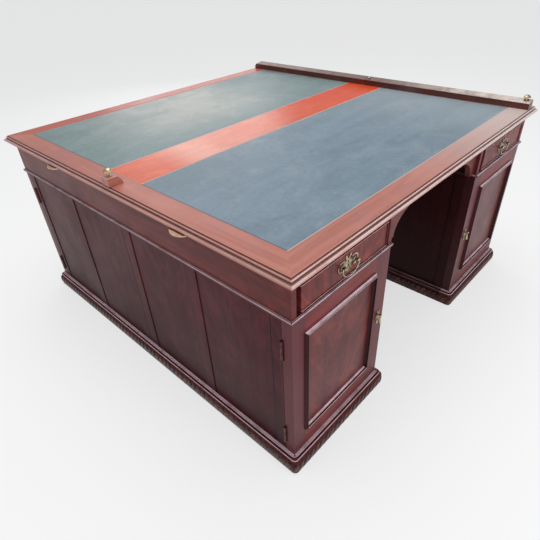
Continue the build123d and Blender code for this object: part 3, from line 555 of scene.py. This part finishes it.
def boards(node, body, finish, slot, along=None, arris=ARRIS, ledges=(), rings=(), pale_top=0.0, on_door=False,
           dark_below=0.0, left_wear_and_highlight=1.0):
    """A copy of a wooden node, merged and parted into boards, each with its own grain and softened arrises.

    along is the way that the grain runs, where it isn't a board's longest way. ledges are planes where the
    carcase stands on the node, rings its mitred rings. pale_top is how strongly its upward slopes get a painted
    highlight, on_door marks the moulding of a door, whose slopes get painted shade and highlight, dark_below is
    the height of a carved foot, below which faces are painted dark as wax and shade between the lobes, and
    left_wear_and_highlight is how much of the wear and painted highlight the faces on the left show.
    """
    form = copied(node)
    if rings:
        bmesh.ops.split_edges(form, edges=form.edges)
        parts = {}
        for face in form.faces:
            parts.setdefault(board_of(face, rings), set()).update(face.verts)
        for corners in parts.values():
            merge(form, list(corners))
    else:
        merge(form, form.verts)
        part_touching(form)
    clear_flat_edges(form)
    cut_ledges(form, ledges)
    arrises = soften(form, [edge for edge in sharp_edges(form, 28) if not on_mitre(edge, rings)], arris, steps=1)
    mark_wear_and_light(form, arrises, pale_top, on_door, dark_below, left_wear_and_highlight)
    lay_grain(form, node, along)
    piece = finished(form, node + "_boards", finish, crisp=27)
    even = piece.modifiers.new("even_shading", "WEIGHTED_NORMAL")
    even.keep_sharp = True
    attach(piece, body)
    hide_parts(node)


frame_ring = ring_of(*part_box("top_frame"))
plinth_low, plinth_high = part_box("plinths")
plinth_inner = min(abs(point.x) for point in points_of("plinths"))
plinth_rings = [ring_of(Vector((plinth_low.x, plinth_low.y, 0)),
                        Vector((-plinth_inner, plinth_high.y, plinth_high.z))),
                ring_of(Vector((plinth_inner, plinth_low.y, 0)), Vector(plinth_high))]
CARVED_TO = 0.0455  # the top of the plinth's carved tier

carcase_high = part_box("frieze_sides")[1]
kneehole_side = min(abs(point.x) for point in points_of("frieze_sides"))
carcase_faces = [(LENGTHWAYS, way * at) for at in (carcase_high.x, kneehole_side) for way in (-1, 1)]
carcase_faces += [(DEEP, way * carcase_high.y) for way in (-1, 1)]

for node, finish, slot, ways in (
        ("top_frame", faded, "faded_mahogany", {"rings": [frame_ring], "left_wear_and_highlight": 0.4}),
        ("centre_strip", strip_veneer, "strip_veneer", {}),
        ("top_panels", carcase_wood, "carcase_wood", {}),
        ("gallery_rails", gallery_wood, "mahogany", {"pale_top": 0.9}),
        ("centre_block", faded, "faded_mahogany", {}),
        ("frieze_sides", mahogany, "mahogany", {}),
        ("drawer_surrounds", mahogany, "mahogany", {}),
        ("aprons", mahogany, "mahogany", {"along": LENGTHWAYS}),
        ("drawer_runners", carcase_wood, "carcase_wood", {}),
        ("frieze_bearers", carcase_wood, "carcase_wood", {}),
        ("pedestal_caps", mahogany, "mahogany", {"ledges": carcase_faces, "left_wear_and_highlight": 0.85}),
        ("pedestal_stiles", dark_figured, "mahogany", {"along": UPRIGHT}),
        ("pedestal_panels", dark_figured, "figured_mahogany", {"along": UPRIGHT}),
        ("cupboard_boards", mahogany, "mahogany", {}),
        ("shelves", carcase_wood, "carcase_wood", {}),
        ("plinths", mahogany, "mahogany",
         {"ledges": carcase_faces, "rings": plinth_rings, "dark_below": CARVED_TO})):
    boards(node, "desk", finish, slot, **ways)

for corner in CORNERS:
    door, drawer, moulding = "door_" + corner, "drawer_" + corner, "door_moulding_" + corner
    boards("door_frame_" + corner, door, door_plain, "mahogany")
    boards("door_panel_" + corner, door, door_figured, "figured_mahogany", along=UPRIGHT)
    boards(moulding, door, door_plain, "mahogany", on_door=True,
           rings=[ring_of(*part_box(moulding), one=LENGTHWAYS, other=UPRIGHT)])
    boards("drawer_face_" + corner, drawer, drawer_figured, "figured_mahogany", along=UPRIGHT)
    boards("drawer_box_" + corner, drawer, carcase_wood, "carcase_wood")


# ---------------------------------------------------------------- leather

def desk_leather():
    """Old desk leather: streaked and flecked, with painted sky sheen on both leathers, a painted highlight along
    each long edge and painted shade along each short one.
    """
    hide = Finish("desk_leather", Sheen_Weight=0.06, Sheen_Roughness=0.5, Specular_IOR_Level=0.3)
    low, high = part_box("leathers")
    inner_edge = min(abs(point.y) for point in points_of("leathers"))
    place = hide.place()
    x, y, _ = hide.apart(place)
    drift = hide.noise(place, 1.7, detail=3)
    streaks = hide.noise(hide.scaled(place, 3.0, 13, 1), detail=6, rough=0.7, twist=0.4)
    blotch = hide.noise(place, 7.5, detail=6, rough=0.7, twist=0.5)
    fleck = hide.noise(place, 75, detail=4, rough=0.75)
    cells = hide.add("TexVoronoi", {"Vector": place, "Scale": 620.0}, feature="F1").outputs["Distance"]
    crease = hide.noise(place, 240, detail=3, rough=0.6)
    # The near leather is bluer, the far one greener.
    near = hide.between(y, 0.3, -0.3)
    streaked = hide.between(streaks, 0.3, 0.72)
    cool = hide.mix(streaked, shade(98, 116, 130), shade(114, 133, 146))
    green = hide.mix(streaked, shade(98, 116, 116), shade(114, 134, 130))
    colour = hide.mix(near, green, cool)
    colour = hide.mix(hide.between(blotch, 0.46, 0.72, 0.0, 0.5), colour, shade(134, 146, 152))
    colour = hide.mix(hide.between(drift, 0.48, 0.7, 0.0, 0.4), colour, shade(88, 104, 114))
    colour = hide.mix(hide.between(fleck, 0.52, 0.74, 0.0, 0.4), colour, shade(78, 94, 102))
    colour = hide.mix(hide.between(fleck, 0.46, 0.28, 0.0, 0.3), colour, shade(150, 160, 162))
    # Painted sky sheen: the near leather is paler towards the gallery, and the far leather paler over its middle.
    colour = hide.mix(hide.times(hide.between(x, 0.1, 0.7, 0.0, 0.4), near), colour, shade(164, 172, 174))
    far_sheen = hide.times(hide.between(x, -0.65, -0.1), hide.between(x, 0.40, 0.08))
    far_sheen = hide.times(far_sheen, hide.between(y, 0.05, 0.4, 0.0, 0.5))
    far_sheen = hide.times(far_sheen, hide.between(blotch, 0.3, 0.6, 0.5, 1.0))
    colour = hide.mix(far_sheen, colour, shade(190, 182, 172))
    # Painted shade along the short edges, and a painted highlight along the long ones, where the leather's edges
    # would catch the light.
    from_inner = hide.minus(hide.distance(y), inner_edge)
    from_outer = hide.minus(high.y, hide.distance(y))
    long_edge = hide.between(hide.smaller(from_inner, from_outer), 0.0045, 0.0025)
    from_ends = hide.smaller(hide.minus(x, low.x), hide.minus(high.x, x))
    short_edge = hide.between(from_ends, 0.0045, 0.002)
    colour = hide.mix(hide.times(short_edge, 0.8), colour, shade(24, 34, 36))
    colour = hide.mix(hide.times(long_edge, 0.75), colour, shade(206, 178, 166))
    dull = hide.between(streaks, 0.3, 0.75, 0.36, 0.52)
    relief = hide.plus(hide.times(cells, 0.6), crease)
    return hide.coat(colour, dull, relief, depth=0.0003, strength=0.45)


boards("leathers", "desk", desk_leather(), "leather", arris=0.0005)


# ---------------------------------------------------------------- brass

def old_brass(name, bright, aged, dark, gloss, specked, chased=0.0):
    """Cast brass gone olive with age: dark specks and chased grooves, walls painted dark as patina and as painted
    shade, bright where hands rub it.
    """
    metal = Finish(name, Metallic=1.0, Specular_IOR_Level=0.5)
    place = metal.place()
    tarnish = metal.noise(place, 60, detail=5, rough=0.65)
    specks = metal.noise(place, 900, detail=2, rough=0.5)
    colour = metal.mix(metal.between(tarnish, 0.38, 0.64), bright, aged)
    colour = metal.mix(metal.between(specks, 0.58, 0.78, 0.0, specked), colour, dark)
    height = metal.times(specks, 0.3)
    if chased:
        veins = metal.noise(place, 170, detail=2, rough=0.5, twist=1.2)
        grooves = metal.between(metal.distance(metal.minus(veins, 0.5)), 0.055, 0.015)
        colour = metal.mix(metal.times(grooves, chased), colour, dark)
        # Walls that turn from the front are painted dark, as patina and as painted shade.
        colour = metal.mix(metal.times(metal.carried("wall"), 0.85), colour, dark)
        height = metal.minus(height, metal.times(grooves, 0.8))
    dull = metal.between(tarnish, 0.35, 0.7, gloss, gloss + 0.2)
    return metal.coat(colour, dull, height, depth=0.0004, strength=0.5)


brass = old_brass("antique_brass", shade(206, 194, 164), shade(158, 143, 116), shade(48, 40, 34),
                  gloss=0.26, specked=0.5, chased=0.35)
hinge_brass = old_brass("hinge_brass", shade(112, 80, 74), shade(82, 56, 54), shade(44, 30, 30),
                        gloss=0.4, specked=0.6)
knob_brass = old_brass("knob_brass", shade(210, 188, 150), shade(158, 134, 104), shade(76, 58, 44),
                       gloss=0.28, specked=0.5)
tab_brass = old_brass("tab_brass", shade(216, 184, 160), shade(188, 154, 130), shade(110, 84, 70),
                      gloss=0.36, specked=0.4)

CASTING = 0.0040  # how deep the front of a cast mount reaches
RIM = 0.0009      # how much of its front edge is rounded


def cast(node, body, facing):
    """A copy of a cast mount: its front edges softened and its walls marked to be painted dark, as patina and as
    painted shade.
    """
    form = copied(node)
    merge(form, form.verts)
    clear_flat_edges(form)
    front = max(point.co.y * facing for point in form.verts)
    soften(form, [edge for edge in sharp_edges(form, 35)
                  if min(point.co.y * facing for point in edge.verts) > front - CASTING], RIM, steps=2)
    wall_layer = form.faces.layers.float.new("wall")
    for face in form.faces:
        face.smooth = True
        face[wall_layer] = min(max((0.75 - face.normal.y * facing) / 0.5, 0.0), 1.0)
    piece = finished(form, node + "_cast", brass, crisp=50)
    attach(piece, body)
    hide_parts(node)


def finish_node(node, material):
    """Gives a node that keeps its own shape its finish."""
    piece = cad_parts[node]
    piece.data.materials.clear()
    piece.data.materials.append(material)


finish_node("knobs", knob_brass)
finish_node("edge_tabs", tab_brass)
finish_node("hinge_fixed_leaves", hinge_brass)
for corner in CORNERS:
    finish_node("hinge_leaves_" + corner, hinge_brass)
    finish_node("bail_" + corner, brass)
    finish_node("pull_drop_" + corner, brass)
    facing = -1 if corner.startswith("front") else 1
    cast("handle_plate_" + corner, "drawer_" + corner, facing)
    cast("pull_plate_" + corner, "door_" + corner, facing)


# ---------------------------------------------------------------- carved plinth

LOBE = {"Pitch": 0.0262, "Width": 0.0275, "Height": 0.042, "Stand": 0.0074, "Lean": 0.42}
LOBES_UP = 0.0225      # the height of the lobes' middle
PLINTH_CORNER = 0.014  # the radius of the plinth's corner that they turn round


def gadroon_tree():
    """Leaning lobes set along a plinth's outline, facing outwards."""
    tree = bpy.data.node_groups.new("gadroons", "GeometryNodeTree")

    def link(source, output, target, entry):
        tree.links.new(source.outputs[output], target.inputs[entry])

    face = tree.interface
    face.new_socket("Outline", in_out="INPUT", socket_type="NodeSocketGeometry")
    for label, size in LOBE.items():
        face.new_socket(label, in_out="INPUT", socket_type="NodeSocketFloat").default_value = size
    face.new_socket("Wood", in_out="INPUT", socket_type="NodeSocketMaterial")
    face.new_socket("Lobes", in_out="OUTPUT", socket_type="NodeSocketGeometry")
    add = tree.nodes.new
    start, end = add("NodeGroupInput"), add("NodeGroupOutput")
    spaced = add("GeometryNodeCurveToPoints")
    spaced.mode = "LENGTH"
    link(start, "Outline", spaced, "Curve")
    link(start, "Pitch", spaced, "Length")
    # A lobe is a ball of unit size, stretched to its width, stand and height.
    ball = add("GeometryNodeMeshUVSphere")
    ball.inputs["Segments"].default_value = 12
    ball.inputs["Rings"].default_value = 8
    ball.inputs["Radius"].default_value = 0.5
    size = add("ShaderNodeCombineXYZ")
    link(start, "Width", size, "X")
    link(start, "Stand", size, "Y")
    link(start, "Height", size, "Z")
    shaped = add("GeometryNodeTransform")
    link(ball, "Mesh", shaped, "Geometry")
    link(size, "Vector", shaped, "Scale")
    # It leans to one side, the more the higher.
    spot, parts = add("GeometryNodeInputPosition"), add("ShaderNodeSeparateXYZ")
    link(spot, "Position", parts, "Vector")
    lean = add("ShaderNodeMath")
    lean.operation = "MULTIPLY"
    link(parts, "Z", lean, 0)
    link(start, "Lean", lean, 1)
    move = add("ShaderNodeCombineXYZ")
    link(lean, 0, move, "X")
    leaned = add("GeometryNodeSetPosition")
    link(shaped, "Geometry", leaned, "Geometry")
    link(move, "Vector", leaned, "Offset")
    smooth = add("GeometryNodeSetShadeSmooth")
    link(leaned, "Geometry", smooth, "Geometry")
    facing = add("FunctionNodeAlignEulerToVector")
    facing.axis = "X"
    facing.pivot_axis = "Z"
    link(spaced, "Tangent", facing, "Vector")
    put = add("GeometryNodeInstanceOnPoints")
    link(spaced, "Points", put, "Points")
    link(smooth, "Geometry", put, "Instance")
    link(facing, "Rotation", put, "Rotation")
    real = add("GeometryNodeRealizeInstances")
    link(put, "Instances", real, "Geometry")
    dressed = add("GeometryNodeSetMaterial")
    link(real, "Geometry", dressed, "Geometry")
    link(start, "Wood", dressed, "Material")
    link(dressed, "Geometry", end, "Lobes")
    return tree


def measured_line(name, length):
    """A straight curve along x."""
    curve = bpy.data.curves.new(name, "CURVE")
    curve.dimensions = "3D"
    spline = curve.splines.new("POLY")
    spline.points.add(1)
    spline.points[1].co = (length, 0, 0, 1)
    return in_scene(name, curve)


def wrap_round(mesh, low, high, radius, lift):
    """Bends a straight strip round a rounded rectangle: its x runs along the outline, its -y points out."""
    sides = (high.y - low.y - 2 * radius, high.x - low.x - 2 * radius)
    quarter = math.pi * radius / 2
    hubs = ((high.x - radius, low.y + radius), (high.x - radius, high.y - radius),
            (low.x + radius, high.y - radius), (low.x + radius, low.y + radius))
    for point in mesh.vertices:
        left = point.co.x % (2 * sum(sides) + 4 * quarter)
        for turn in range(4):
            facing, side = turn * math.pi / 2, sides[turn % 2]
            if left <= side + quarter:
                break
            left -= side + quarter
        facing += max(left - side, 0) / radius
        hub = hubs[turn] if left <= side else hubs[(turn + 1) % 4]
        ahead = left if left <= side else 0.0
        out = radius - point.co.y
        point.co = (hub[0] + out * math.cos(facing) - ahead * math.sin(facing),
                    hub[1] + out * math.sin(facing) + ahead * math.cos(facing), point.co.z + lift)


def grown(thing, tree, name, **inputs):
    """The tree's result on a thing, as a plain mesh piece."""
    work = thing.modifiers.new("grow", "NODES")
    work.node_group = tree
    for item in tree.interface.items_tree:
        if item.in_out == "INPUT" and item.name in inputs:
            work[item.identifier] = inputs[item.name]
    bpy.context.view_layer.update()
    mesh = bpy.data.meshes.new_from_object(thing.evaluated_get(bpy.context.evaluated_depsgraph_get()))
    bpy.data.objects.remove(thing)
    mesh.name = name
    return in_scene(name, mesh)


def carved_mahogany():
    """Carving of the plinth: dark streaks, with lighter, wear-polished patches scattered over it."""
    wood = Finish("carved_mahogany", Coat_Weight=0.04, Coat_Roughness=0.2, Specular_IOR_Level=0.16)
    place = wood.place()
    streak = wood.noise(wood.scaled(place, 40, 40, 9), detail=4, rough=0.65)
    rub = wood.noise(place, 30, detail=4)
    colour = wood.mix(wood.between(streak, 0.4, 0.65), shade(48, 24, 23), shade(74, 38, 35))
    colour = wood.mix(wood.between(rub, 0.45, 0.7, 0.0, 0.6), colour, shade(114, 70, 62))
    return wood.coat(colour, wood.between(rub, 0.3, 0.7, 0.3, 0.42), streak, depth=0.0005, strength=0.5)


def carve_plinths():
    """Lays a whole number of lobes round each plinth."""
    carved = carved_mahogany()
    tree = gadroon_tree()
    for side in (-1, 1):
        near, far = sorted((side * plinth_inner, side * plinth_high.x))
        base_low, base_high = Vector((near, plinth_low.y, 0)), Vector((far, plinth_high.y, 0))
        around = 2 * (far - near + plinth_high.y - plinth_low.y) - (8 - 2 * math.pi) * PLINTH_CORNER
        pitch = around / round(around / LOBE["Pitch"])
        name = "plinth_carving_" + ("left" if side < 0 else "right")
        line = measured_line(name + "_line", around - pitch / 2)
        piece = grown(line, tree, name, **{**LOBE, "Pitch": pitch}, Wood=carved)
        wrap_round(piece.data, base_low, base_high, PLINTH_CORNER, LOBES_UP)
        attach(piece, "desk")


carve_plinths()


# ---------------------------------------------------------------- floor, light and camera

def pale_floor():
    """A plain floor that glows a little to the eye and in reflections, so that it melts into the backdrop."""
    plain = Finish("pale_floor", Roughness=0.9, Specular_IOR_Level=0.1, Base_Color=(0.84, 0.84, 0.835, 1))
    glow = plain.add("Emission", {"Color": (1, 1, 1, 1), "Strength": 1.0})
    ray = plain.add("LightPath")
    seen = plain.larger(ray.outputs["Is Camera Ray"], ray.outputs["Is Glossy Ray"])
    blend = plain.add("MixShader", {0: plain.times(seen, 0.62)})
    plain.tree.links.new(plain.shader.outputs[0], blend.inputs[1])
    plain.tree.links.new(glow.outputs[0], blend.inputs[2])
    plain.tree.links.new(blend.outputs[0], plain.tree.nodes["Material Output"].inputs["Surface"])
    return plain.material


def lay_floor():
    """A floor that reaches past everything that the camera sees."""
    reach = 40.0
    mesh = bpy.data.meshes.new("floor")
    mesh.from_pydata([(-reach, -reach, 0), (reach, -reach, 0), (reach, reach, 0), (-reach, reach, 0)],
                     [], [(0, 1, 2, 3)])
    mesh.materials.append(pale_floor())
    floor = in_scene("floor", mesh)


def light_room():
    """A cool sky that lights the desk, behind a plain wall that only the camera sees."""
    world = bpy.data.worlds.new("studio")
    bpy.context.scene.world = world
    world.use_nodes = True
    tree = world.node_tree
    sky = tree.nodes["Background"]
    sky.inputs["Color"].default_value = (0.95, 0.97, 1.0, 1)
    sky.inputs["Strength"].default_value = 0.5
    wall = tree.nodes.new("ShaderNodeBackground")
    wall.inputs["Color"].default_value = (0.775, 0.78, 0.78, 1)
    seen = tree.nodes.new("ShaderNodeLightPath")
    choice = tree.nodes.new("ShaderNodeMixShader")
    tree.links.new(seen.outputs["Is Camera Ray"], choice.inputs[0])
    tree.links.new(sky.outputs[0], choice.inputs[1])
    tree.links.new(wall.outputs[0], choice.inputs[2])
    tree.links.new(choice.outputs[0], tree.nodes["World Output"].inputs[0])


def softbox(name, place, target, size, power, colour=(1, 1, 1)):
    """A square lamp of a size in metres and a power in watts, turned towards a target."""
    light = bpy.data.lights.new(name, "AREA")
    light.shape = "SQUARE"
    light.size = size
    light.energy = power
    light.color = colour
    lamp = in_scene(name, light)
    lamp.location = place
    lamp.rotation_euler = (Vector(target) - Vector(place)).to_track_quat("-Z", "Y").to_euler()
    lamp.visible_camera = False


def aim_camera(stand, turn, climb, tilt, lens):
    """The viewer stands off the near left corner and looks down at the desk, the head a little tilted."""
    turn, climb, tilt = math.radians(turn), math.radians(climb), math.radians(tilt)
    back = Vector((math.sin(turn) * math.cos(climb), -math.cos(turn) * math.cos(climb), math.sin(climb)))
    right = (-back).cross(Vector((0, 0, 1))).normalized()
    top = right.cross(-back)
    across = math.cos(tilt) * right + math.sin(tilt) * top
    upwards = -math.sin(tilt) * right + math.cos(tilt) * top
    camera = in_scene("camera", bpy.data.cameras.new("camera"))
    camera.matrix_world = Matrix((
        (across.x, upwards.x, back.x, stand[0]),
        (across.y, upwards.y, back.y, stand[1]),
        (across.z, upwards.z, back.z, stand[2]),
        (0, 0, 0, 1)))
    camera.data.sensor_width = 36
    camera.data.lens = lens
    camera.data.clip_end = 200
    bpy.context.scene.camera = camera


lay_floor()
light_room()
softbox("overhead", (0.2, 0.2, 3.6), (0, 0, 0.6), 3.2, 66)
softbox("window", (2.2, 3.4, 1.9), (-0.1, 0.3, 0.7), 2.2, 20, (0.98, 0.97, 1.0))
softbox("front_fill", (-0.6, -4.2, 2.0), (-0.2, 0, 0.4), 2.4, 62)
softbox("end_fill", (-4.2, 0.6, 2.2), (0, 0, 0.4), 2.4, 22)
aim_camera(stand=(-1.3604, -1.2998, 1.3504), turn=-45.139, climb=35.648, tilt=-3.240, lens=29.687)
bpy.context.scene.view_settings.view_transform = "Standard"
